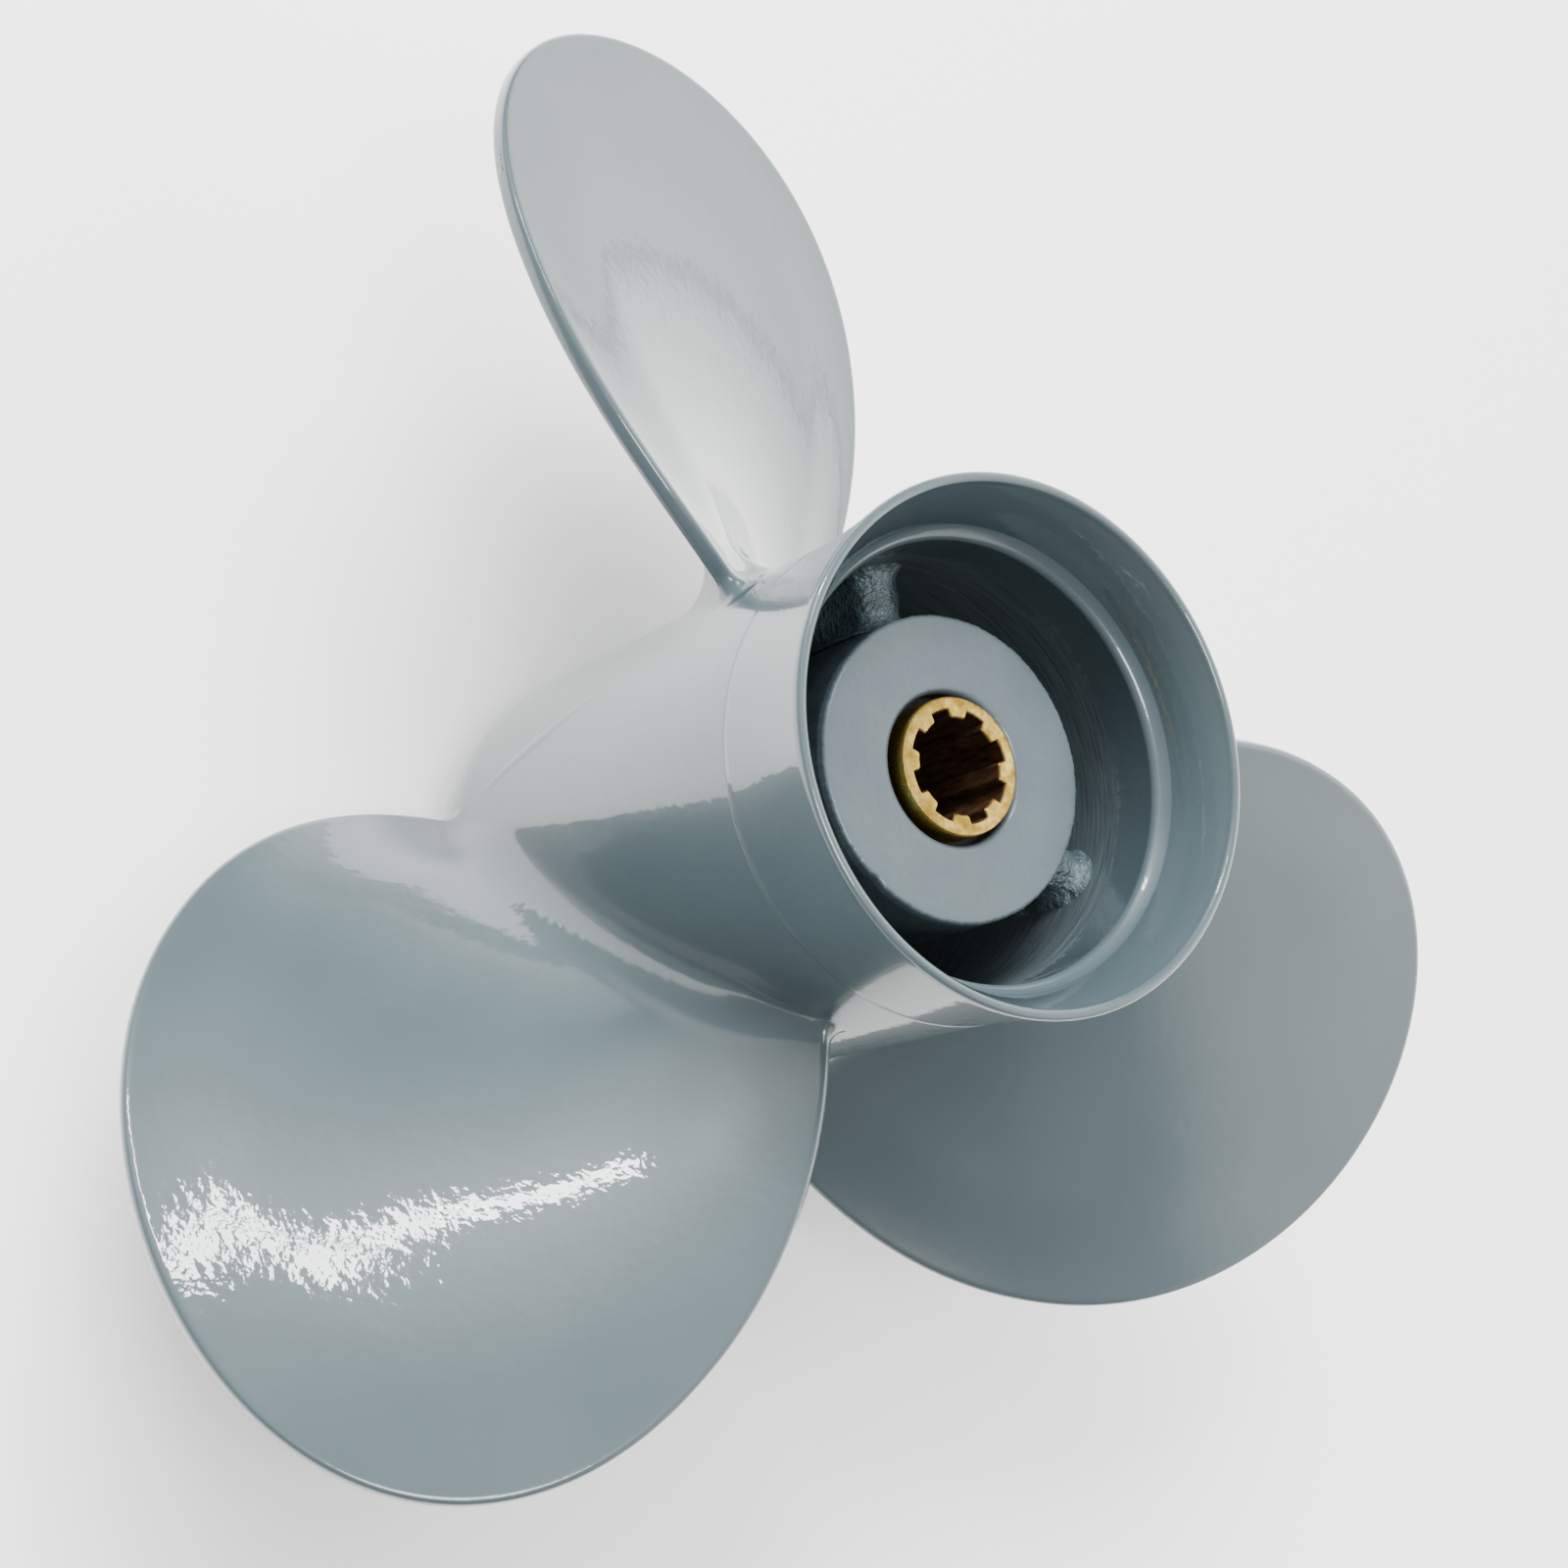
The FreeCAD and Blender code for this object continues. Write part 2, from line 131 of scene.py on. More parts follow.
def add_mesh(name, points, faces, material, body, replaces, sharp_angle=None):
    """A smooth-shaded mesh piece made from points in mm."""
    mesh = bpy.data.meshes.new(name)
    mesh.from_pydata((np.asarray(points) * MM).tolist(), [], [[int(k) for k in face] for face in faces])
    mesh.polygons.foreach_set("use_smooth", np.ones(len(mesh.polygons), bool))
    if sharp_angle:
        mesh.set_sharp_from_angle(angle=math.radians(sharp_angle))
    mesh.materials.append(material)
    piece = bpy.data.objects.new(name, mesh)
    bpy.context.scene.collection.objects.link(piece)
    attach(piece, body)
    if replaces:
        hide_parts(replaces)
    return piece


def mark_rings(piece, rows, sharp_rows):
    """Keeps the rings of a lathed mesh at some profile rows crisp."""
    mesh = piece.data
    ends = np.empty(len(mesh.edges) * 2, int)
    mesh.edges.foreach_get("vertices", ends)
    ends = ends.reshape(-1, 2) % rows
    sharp = (ends[:, 0] == ends[:, 1]) & np.isin(ends[:, 0], sharp_rows)
    layer = mesh.attributes.get("sharp_edge") or mesh.attributes.new("sharp_edge", "BOOLEAN", "EDGE")
    layer.data.foreach_set("value", sharp)


def lathe(name, profile, steps, material, body, replaces, sharp_rows=(), shift=None):
    """A closed profile of (radius, height) turned round the axis; shift changes the points."""
    profile = np.array(profile)
    angles = 2 * math.pi * np.arange(steps) / steps
    radius = np.broadcast_to(profile[:, 0], (steps, len(profile))).copy()
    height = np.broadcast_to(profile[:, 1], (steps, len(profile))).copy()
    if shift:
        radius, height = shift(angles[:, None], radius, height)
    x = radius * np.cos(angles)[:, None]
    y = radius * np.sin(angles)[:, None]
    points = np.stack((x, y, height), axis=-1).reshape(-1, 3)
    faces = grid_faces(steps, len(profile), True, True)
    piece = add_mesh(name, points, faces, material, body, replaces)
    mark_rings(piece, len(profile), sharp_rows)
    return piece


def ripple(points, size, depth, octaves=3):
    """Cast-surface noise at each point, in mm."""
    values = [noise.fractal(Vector(p) / size, 1.0, 2.1, octaves) for p in points]
    return depth * np.array(values)


def turned(points, degrees):
    """Points turned anticlockwise about the axis."""
    a = math.radians(degrees)
    spin = np.array(((math.cos(a), -math.sin(a), 0), (math.sin(a), math.cos(a), 0), (0, 0, 1)))
    return points @ spin.T


# ---------------------------------------------------------------- materials


def new_material(name):
    material = bpy.data.materials.new(name)
    material.use_nodes = True
    nodes = material.node_tree.nodes
    return material, nodes, material.node_tree.links, nodes["Principled BSDF"]


def place(nodes, links, stretch=(1, 1, 1)):
    """Object coordinates, stretched."""
    where = nodes.new("ShaderNodeTexCoord")
    mapping = nodes.new("ShaderNodeMapping")
    mapping.inputs["Scale"].default_value = stretch
    links.new(where.outputs["Object"], mapping.inputs["Vector"])
    return mapping.outputs["Vector"]


def add_noise(nodes, links, vector, scale, detail=2.0, roughness=0.5):
    texture = nodes.new("ShaderNodeTexNoise")
    texture.inputs["Scale"].default_value = scale
    texture.inputs["Detail"].default_value = detail
    texture.inputs["Roughness"].default_value = roughness
    links.new(vector, texture.inputs["Vector"])
    return texture.outputs["Fac"]


def add_ramp(nodes, links, fac, stops):
    """Colour ramp; each stop is (position, grey or colour)."""
    ramp = nodes.new("ShaderNodeValToRGB")
    elements = ramp.color_ramp.elements
    while len(elements) < len(stops):
        elements.new(0.5)
    for element, (position, colour) in zip(elements, stops):
        element.position = position
        rgb = (colour,) * 3 if isinstance(colour, (int, float)) else colour
        element.color = (*rgb, 1.0)
    links.new(fac, ramp.inputs["Fac"])
    return ramp.outputs["Color"]


def add_math(nodes, links, operation, first, second):
    node = nodes.new("ShaderNodeMath")
    node.operation = operation
    for socket, word in zip(node.inputs, (first, second)):
        if isinstance(word, (int, float)):
            socket.default_value = word
        else:
            links.new(word, socket)
    return node.outputs["Value"]


def add_mix(nodes, links, fac, first, second):
    node = nodes.new("ShaderNodeMix")
    node.data_type = "RGBA"
    colour_sockets = [s for s in node.inputs if s.type == "RGBA"]
    factor = [s for s in node.inputs if s.name == "Factor" and s.type == "VALUE"][0]
    for socket, source in zip((factor, *colour_sockets), (fac, first, second)):
        links.new(source, socket)
    return [s for s in node.outputs if s.type == "RGBA"][0]


def add_bump(nodes, links, height, strength, distance, after=None):
    bump = nodes.new("ShaderNodeBump")
    bump.inputs["Strength"].default_value = strength
    bump.inputs["Distance"].default_value = distance
    links.new(height, bump.inputs["Height"])
    if after:
        links.new(after, bump.inputs["Normal"])
    return bump.outputs["Normal"]


def from_axis(nodes, links):
    """Distance from the shaft axis, and height, in metres."""
    where = nodes.new("ShaderNodeTexCoord")
    split = nodes.new("ShaderNodeSeparateXYZ")
    links.new(where.outputs["Object"], split.inputs["Vector"])
    x2 = add_math(nodes, links, "MULTIPLY", split.outputs["X"], split.outputs["X"])
    y2 = add_math(nodes, links, "MULTIPLY", split.outputs["Y"], split.outputs["Y"])
    radius = add_math(nodes, links, "SQRT", add_math(nodes, links, "ADD", x2, y2), 0.0)
    return radius, split.outputs["Z"]


PAINT_LIGHT = (0.05, 0.072, 0.081)
PAINT_DARK = (0.044, 0.065, 0.074)


def paint(nodes, links, shader):
    """Colour and orange-peel normal of the gloss enamel, and its coat."""
    vector = place(nodes, links)
    cloud = add_noise(nodes, links, vector, 38.0, 3.0)
    colour = add_ramp(nodes, links, cloud, ((0.35, PAINT_DARK), (0.65, PAINT_LIGHT)))
    peel = add_noise(nodes, links, vector, 620.0, 2.0, 0.45)
    wave = add_noise(nodes, links, vector, 90.0, 1.0, 0.4)
    normal = add_bump(nodes, links, wave, 0.09, 0.0006)
    normal = add_bump(nodes, links, peel, 0.14, 0.00022, normal)
    shader.inputs["Coat Weight"].default_value = 1.0
    shader.inputs["Coat Roughness"].default_value = 0.035
    shader.inputs["Coat IOR"].default_value = 1.5
    links.new(normal, shader.inputs["Coat Normal"])
    return colour, normal


def enamel(name):
    """Gloss blue-grey enamel."""
    material, nodes, links, shader = new_material(name)
    colour, normal = paint(nodes, links, shader)
    links.new(colour, shader.inputs["Base Color"])
    links.new(normal, shader.inputs["Normal"])
    shader.inputs["Roughness"].default_value = 0.32
    return material


def hub_enamel(name):
    """Enamel outside and in the flare; darker bare casting with turning marks deep inside."""
    material, nodes, links, shader = new_material(name)
    colour, normal = paint(nodes, links, shader)
    radius, height = from_axis(nodes, links)
    streaks = add_noise(nodes, links, place(nodes, links, (1.0, 1.0, 0.12)), 900.0, 3.0, 0.7)
    ragged = add_math(nodes, links, "MULTIPLY", add_math(nodes, links, "SUBTRACT", streaks, 0.5), 0.009)
    edge = add_math(nodes, links, "ADD", height, ragged)
    deep = add_math(nodes, links, "LESS_THAN", edge, 0.0921)
    inside = add_math(nodes, links, "LESS_THAN", radius, 0.0312)
    above_nose = add_math(nodes, links, "GREATER_THAN", height, 0.0085)
    bare = add_math(nodes, links, "MULTIPLY", deep, inside)
    bare = add_math(nodes, links, "MULTIPLY", bare, above_nose)
    rings = add_noise(nodes, links, place(nodes, links, (0.04, 0.04, 1.0)), 2600.0, 2.0, 0.6)
    metal = add_ramp(nodes, links, rings, ((0.3, (0.032, 0.045, 0.051)), (0.75, (0.078, 0.102, 0.112))))
    links.new(add_mix(nodes, links, bare, colour, metal), shader.inputs["Base Color"])
    ring_bump = add_bump(nodes, links, rings, 0.25, 0.0002, normal)
    mix = nodes.new("ShaderNodeMix")
    mix.data_type = "VECTOR"
    links.new(bare, mix.inputs[0])
    links.new(normal, mix.inputs[4])
    links.new(ring_bump, mix.inputs[5])
    links.new(mix.outputs[1], shader.inputs["Normal"])
    rough = add_math(nodes, links, "ADD", add_math(nodes, links, "MULTIPLY", bare, 0.2), 0.32)
    links.new(rough, shader.inputs["Roughness"])
    coat = add_math(nodes, links, "SUBTRACT", 1.0, add_math(nodes, links, "MULTIPLY", bare, 0.75))
    links.new(coat, shader.inputs["Coat Weight"])
    return material


def rough_casting(name):
    """Thin enamel over rough sand casting: sparkly and uneven."""
    material, nodes, links, shader = new_material(name)
    vector = place(nodes, links)
    cloud = add_noise(nodes, links, vector, 260.0, 4.0, 0.6)
    shades = ((0.35, (0.026, 0.042, 0.047)), (0.68, (0.085, 0.125, 0.138)))
    colour = add_ramp(nodes, links, cloud, shades)
    grain = add_noise(nodes, links, vector, 1300.0, 3.0, 0.6)
    normal = add_bump(nodes, links, grain, 0.9, 0.0007)
    links.new(colour, shader.inputs["Base Color"])
    links.new(normal, shader.inputs["Normal"])
    links.new(normal, shader.inputs["Coat Normal"])
    shader.inputs["Roughness"].default_value = 0.28
    shader.inputs["Coat Weight"].default_value = 1.0
    shader.inputs["Coat Roughness"].default_value = 0.07
    return material


def satin_disc(name):
    """The inner hub's turned aft face under a thinner, flatter coat of enamel; its side wall below the
    face is painted much darker, as painted shade in the gap to the barrel.
    """
    material, nodes, links, shader = new_material(name)
    vector = place(nodes, links)
    cloud = add_noise(nodes, links, vector, 120.0, 4.0, 0.6)
    colour = add_ramp(nodes, links, cloud, ((0.3, (0.048, 0.067, 0.077)), (0.7, (0.06, 0.082, 0.093))))
    peel = add_noise(nodes, links, vector, 800.0, 2.0, 0.5)
    normal = add_bump(nodes, links, peel, 0.3, 0.0002)
    # Painted shade: the side wall below the aft face gets a much darker colour, standing in for the
    # shade in the gap between the inner hub and the barrel.
    split = nodes.new("ShaderNodeSeparateXYZ")
    links.new(vector, split.inputs["Vector"])
    wall = add_math(nodes, links, "LESS_THAN", split.outputs["Z"], 0.0924)
    wall_painted_shade = add_ramp(nodes, links, cloud, ((0.3, (0.012, 0.02, 0.023)), (0.7, (0.034, 0.05, 0.056))))
    colour = add_mix(nodes, links, wall, colour, wall_painted_shade)
    links.new(colour, shader.inputs["Base Color"])
    links.new(normal, shader.inputs["Normal"])
    links.new(normal, shader.inputs["Coat Normal"])
    shader.inputs["Roughness"].default_value = 0.42
    shader.inputs["Coat Weight"].default_value = 0.45
    shader.inputs["Coat Roughness"].default_value = 0.16
    return material


def brass(name):
    """Machined brass with fine scratches and tarnish; the deep bore is painted near-black brown as
    painted shade, with machining lines.
    """
    material, nodes, links, shader = new_material(name)
    vector = place(nodes, links)
    cloud = add_noise(nodes, links, vector, 420.0, 5.0, 0.65)
    shades = ((0.36, (0.4, 0.24, 0.04)), (0.5, (0.6, 0.4, 0.08)), (0.66, (0.88, 0.66, 0.2)))
    bright = add_ramp(nodes, links, cloud, shades)
    radius, height = from_axis(nodes, links)
    in_bore = add_math(nodes, links, "LESS_THAN", radius, 0.00785)
    below = add_math(nodes, links, "LESS_THAN", height, 0.09515)
    bore = add_math(nodes, links, "MULTIPLY", in_bore, below)
    # Painted shade: inside the deep bore the brass colour is replaced by a near-black brown, with
    # machining lines in it.
    lines = add_noise(nodes, links, place(nodes, links, (1.0, 1.0, 0.2)), 1500.0, 3.0, 0.6)
    bore_painted_shade = add_ramp(nodes, links, lines, ((0.35, (0.014, 0.007, 0.004)), (0.75, (0.06, 0.03, 0.015))))
    links.new(add_mix(nodes, links, bore, bright, bore_painted_shade), shader.inputs["Base Color"])
    scratch = add_noise(nodes, links, place(nodes, links, (1.0, 0.08, 1.0)), 2600.0, 3.0, 0.7)
    normal = add_bump(nodes, links, scratch, 0.3, 0.00015)
    links.new(normal, shader.inputs["Normal"])
    polished = add_math(nodes, links, "SUBTRACT", 1.0, add_math(nodes, links, "MULTIPLY", bore, 0.9))
    links.new(polished, shader.inputs["Metallic"])
    rough = add_ramp(nodes, links, cloud, ((0.3, 0.42), (0.7, 0.22)))
    links.new(rough, shader.inputs["Roughness"])
    return material


def rubber(name):
    """Matt black moulded rubber."""
    material, nodes, links, shader = new_material(name)
    vector = place(nodes, links)
    cloud = add_noise(nodes, links, vector, 160.0, 4.0, 0.6)
    colour = add_ramp(nodes, links, cloud, ((0.3, 0.012), (0.75, 0.03)))
    grain = add_noise(nodes, links, vector, 1400.0, 3.0, 0.6)
    links.new(colour, shader.inputs["Base Color"])
    links.new(add_bump(nodes, links, grain, 0.4, 0.0003), shader.inputs["Normal"])
    shader.inputs["Roughness"].default_value = 0.72
    return material


# ---------------------------------------------------------------- hub


def barrel_radius(height):
    """Outer radius of the barrel at each height."""
    height = np.asarray(height, float)
    nose_centre = SHOULDER[0] - NOSE_ARC
    drop = np.clip(SHOULDER[1] - height, 0.0, NOSE_ARC)
    nose = nose_centre + np.sqrt(NOSE_ARC**2 - drop**2)
    slope = (CREASE[0] - SHOULDER[0]) / (CREASE[1] - SHOULDER[1])
    side = SHOULDER[0] + slope * (np.minimum(height, CREASE[1]) - SHOULDER[1])
    past = np.clip(height - CREASE[1], 0.0, None)
    flare = (RIM[0] - CREASE[0]) * past / (RIM[1] - CREASE[1])
    return np.where(height < SHOULDER[1], nose, side + flare)


def hub_profile():
    """Closed profile of the barrel, and the rows whose rings stay crisp."""
    sharp = []
    profile = [(NOSE_RADIUS - 0.5, 0.0)]
    profile += [p for p in arc((NOSE_RADIUS, 0.0), SHOULDER, NOSE_ARC, -1, 16) if p[1] > 0.3]
    profile += [(SHOULDER[0] + 0.9 * k / 12, SHOULDER[1] + 73.3 * k / 12) for k in range(12)]
    sharp.append(len(profile))
    profile += [(CREASE[0], CREASE[1] - 0.25), (CREASE[0] - 0.06, CREASE[1] - 0.08)]
    profile += arc(CREASE, RIM, FLARE_ARC, 1, 18)
    profile += arc(RIM, RIM_INSIDE, RIM_ROUNDING, -1, 12)
    profile += arc(RIM_INSIDE, STEP, FLARE_INNER_ARC, -1, 16)
    sharp.append(len(profile))
    profile += [STEP]
    profile += arc(LEDGE_CREST, LEDGE_FOOT, LEDGE_ROUNDING, -1, 8)
    run = [CAVITY_FORWARD[k] - LEDGE_FOOT[k] for k in range(2)]
    profile += [(LEDGE_FOOT[0] + run[0] * k / 10, LEDGE_FOOT[1] + run[1] * k / 10) for k in range(10)]
    profile += arc(CAVITY_FORWARD, MOUTH, MOUTH_ARC, 1, 12)
    profile += [MOUTH, (MOUTH[0], 0.4), (MOUTH[0] + 0.4, 0.0)]
    return profile, sharp


def uneven_wall(angles, radius, height):
    """Slight waviness of the cast wall inside, none outside."""
    inside = (radius < 30.4) & (height > 20.0) & (height < 97.0)
    wave = 0.12 * np.sin(3 * angles + 0.11 * height) + 0.07 * np.sin(7 * angles - 0.23 * height)
    return radius + np.where(inside, wave, 0.0), height


def rough_rim(angles, radius, height):
    """The inner hub's aft edge is rough, as cast, with one small nick."""
    edge = (radius > INNER_HUB_RADIUS - 1.4) & (height > INNER_HUB_AFT - 2.5)
    waves = ((7, 0.12), (16, 0.1), (37, 0.1), (83, 0.12), (141, 0.12))
    chatter = sum(np.sin(count * angles + count * count) * depth for count, depth in waves)
    nick = np.exp(-(((angles - math.radians(222)) / 0.045) ** 2))
    near_nick = edge & (radius > INNER_HUB_RADIUS - 0.9)
    bitten = np.where(edge, 0.22 + 0.42 * chatter, 0.0) * 0.55
    radius = radius - bitten - np.where(near_nick, 0.45 * nick, 0.0)
    return radius, height - np.where(near_nick, 0.12 * nick, 0.0)


def inner_hub_profile():
    out, hole, aft = INNER_HUB_RADIUS, LIP_HOLE, INNER_HUB_AFT
    start, forward = INNER_HUB_FORWARD_RADIUS, INNER_HUB_FORWARD
    profile = [(start - 0.4, forward), (start, forward + 0.4)]
    profile += [(start + 0.6 * k / 14, forward + 79.0 * k / 14) for k in range(1, 14)]
    profile += arc((out, aft - 0.6), (out - 0.6, aft), 0.6, -1, 6)
    profile += [(out - 0.6 - (out - 1.6 - hole) * k / 8, aft) for k in range(8)]
    profile += arc((hole + 1.0, aft), (hole, aft - 1.0), 1.0, -1, 8)
    profile += [(hole, aft - 1.0), (hole, LIP_HEIGHT), (CUSHION_BORE, LIP_HEIGHT)]
    profile += [(CUSHION_BORE, forward + 0.5), (CUSHION_BORE + 0.5, forward)]
    return profile


def build_ridge(name, angle, material):
    """Parting line left by the mould: from one blade's trailing root to the next one's leading root."""
    share = np.linspace(0.0, 1.0, 70)
    heights = 81.0 + (19.0 - 81.0) * share
    sag = 1.5 * np.sin(math.pi * share) + 0.5 * np.sin(9.0 * share)
    angles = np.radians(90.0 + angle + 33.5 + 36.5 * share - sag)
    across = np.linspace(-1.0, 1.0, 9)
    width, lift = 1.6, 0.13
    height = heights[:, None] + 0.5 * width * across[None, :]
    turn = angles[:, None] + 0.85 * width * across[None, :] / 33.5
    ends = np.clip(np.minimum(share, 1 - share) / 0.08, 0, 1)
    uneven = ((0.75 + 0.45 * np.sin(11 * share + angle)) * ends)[:, None]
    bulge = np.cos(across * math.pi / 2)[None, :] ** 2
    radius = barrel_radius(height) - 0.02 + (lift + 0.02) * bulge * uneven
    outer = np.stack((radius * np.cos(turn), radius * np.sin(turn), height), axis=-1)
    base = outer * np.array(((31.5 / 33.6), (31.5 / 33.6), 1.0))
    loop = np.concatenate((outer, base[:, ::-1]), axis=1)
    faces = grid_faces(70, 18, False, True).tolist()
    faces += [list(range(17, -1, -1)), [69 * 18 + k for k in range(18)]]
    return add_mesh(name, loop.reshape(-1, 3), faces, material, "casting", None)


def build_rib(number, angle, material):
    """Radial web between the hub walls, with a rounded aft edge and cast fillets at both walls."""
    reach = 20.7 + 9.75 * (1 - np.cos(np.linspace(0, math.pi, 22))) / 2
    inner_gap = np.clip(reach - 20.9, 0.0, None)
    outer_gap = np.clip(30.1 - reach, 0.0, None)
    fillet = 2.6
    shorts = [np.clip(fillet - gap, 0.0, fillet) for gap in (inner_gap, outer_gap)]
    flare = sum(fillet - np.sqrt(fillet**2 - short**2) for short in shorts)
    heights = np.linspace(RIB_FORWARD, RIB_AFT - RIB_HALF_THICKNESS, 40)
    curve = np.linspace(0.0, math.pi, 26)[1:-1]
    loop = [(1.0, 0.0, h) for h in heights]
    loop += [(math.cos(a), math.sin(a), RIB_AFT - RIB_HALF_THICKNESS) for a in curve]
    loop += [(-1.0, 0.0, h) for h in heights[::-1]]
    loop = np.array(loop)
    half = RIB_HALF_THICKNESS + flare
    x = loop[None, :, 0] * half[:, None]
    z = loop[None, :, 2] + loop[None, :, 1] * half[:, None]
    y = np.broadcast_to(reach[:, None], x.shape)
    points = np.stack((x, y, z), axis=-1).reshape(-1, 3)
    lump = ripple(points + 31.0 * number, 2.2, 0.34, 4)
    outward = np.tile(np.stack((loop[:, 0], np.zeros(len(loop)), loop[:, 1]), axis=-1), (len(reach), 1))
    points = points + outward * lump[:, None]
    rows = len(loop)
    faces = grid_faces(len(reach), rows, False, True).tolist()
    faces += [list(range(rows)), [(len(reach) - 1) * rows + k for k in range(rows - 1, -1, -1)]]
    points = turned(points, angle)
    name, node = f"rib_{number}_cast", f"rib_{number}"
    return add_mesh(name, points, faces, material, "casting", node)


# ---------------------------------------------------------------- blades


def middle_height(across, reach):
    """Raked helicoid whose pitch falls towards the tip."""
    outward = np.hypot(across, reach) - 72.4
    pitch = 266.6 - 0.31 * outward
    lean = 0.032 * outward - 0.00115 * outward**2
    return 54.3 + lean + pitch * np.arctan2(across, reach) / (2 * math.pi)


def midline(reach):
    past = reach - 70.0
    return 0.147 * past + 0.00086 * past**2


def outline_side(side):
    """Outline from inside the barrel to the tip, as (across, reach); side -1 leads and +1 trails."""
    low = np.linspace(19.0, WAIST, 400)[:-1]
    half_low = HALF_WIDTH - 0.00922 * (WAIST - low) ** 2
    turn = np.linspace(0.0, math.pi / 2, 400)
    high = WAIST + (TIP - WAIST) * np.sin(turn) ** (2 / 2.16)
    half_high = HALF_WIDTH * np.cos(turn)
    reach = np.concatenate((low, high))
    across = midline(reach) + side * np.concatenate((half_low, half_high))
    return np.stack((across, reach), axis=-1)


def along(curve, shares):
    """Points at shares of a polyline's length."""
    steps = np.hypot(*np.diff(curve, axis=0).T)
    length = np.concatenate(((0.0,), np.cumsum(steps)))
    where = np.asarray(shares) * length[-1]
    return np.stack([np.interp(where, length, curve[:, k]) for k in range(2)], axis=-1)


def crowded(first, growth, widest):
    """Shares from 0 to 1 that crowd together at both ends."""
    step, cells = first, []
    while step < widest:
        cells.append(step)
        step *= growth
    middle = 1.0 - 2.0 * sum(cells)
    count = math.ceil(middle / widest)
    cells = cells + [middle / count] * count + cells[::-1]
    return np.concatenate(((0.0,), np.cumsum(cells)))


def height_over_barrel(points):
    across, reach = points[..., 0], points[..., 1]
    return np.hypot(across, reach) - barrel_radius(middle_height(across, reach))


def foot_of(curve):
    """The rest of a curve from where it leaves the barrel."""
    gap = height_over_barrel(curve) + SUNK
    k = int(np.argmax(gap > 0))
    share = gap[k - 1] / (gap[k - 1] - gap[k])
    start = curve[k - 1] + share * (curve[k] - curve[k - 1])
    return np.vstack((start, curve[k:]))


def blade_sheet():
    """Grid of (across, reach) over the blade, crowded at the outline and at the barrel."""
    lead, trail = foot_of(outline_side(-1)), foot_of(outline_side(1))
    corner = 300
    top = np.vstack((lead[-corner:], trail[-corner:][::-1][1:]))
    lead, trail = lead[: len(lead) - corner + 1], trail[: len(trail) - corner + 1]
    foot_angles = np.linspace(math.atan2(*lead[0]), math.atan2(*trail[0]), 200)
    foot_radii = np.full(200, 33.5)
    for _ in range(12):
        across, reach = foot_radii * np.sin(foot_angles), foot_radii * np.cos(foot_angles)
        foot_radii = barrel_radius(middle_height(across, reach)) - SUNK
    foot = np.stack((foot_radii * np.sin(foot_angles), foot_radii * np.cos(foot_angles)), axis=-1)
    shares = crowded(0.0004, 1.28, 0.0125)
    a, b, c, d = along(foot, shares), along(top, shares), along(lead, shares), along(trail, shares)
    u, v = shares[:, None, None], shares[None, :, None]
    sheet = (1 - v) * a[:, None] + v * b[:, None] + (1 - u) * c[None] + u * d[None]
    sheet -= (1 - u) * (1 - v) * a[0] + u * (1 - v) * a[-1] + (1 - u) * v * b[0] + u * v * b[-1]
    return sheet, np.vstack((lead, top, trail[::-1]))


def lifted(flat):
    return np.stack((-flat[..., 0], flat[..., 1], middle_height(flat[..., 0], flat[..., 1])), axis=-1)


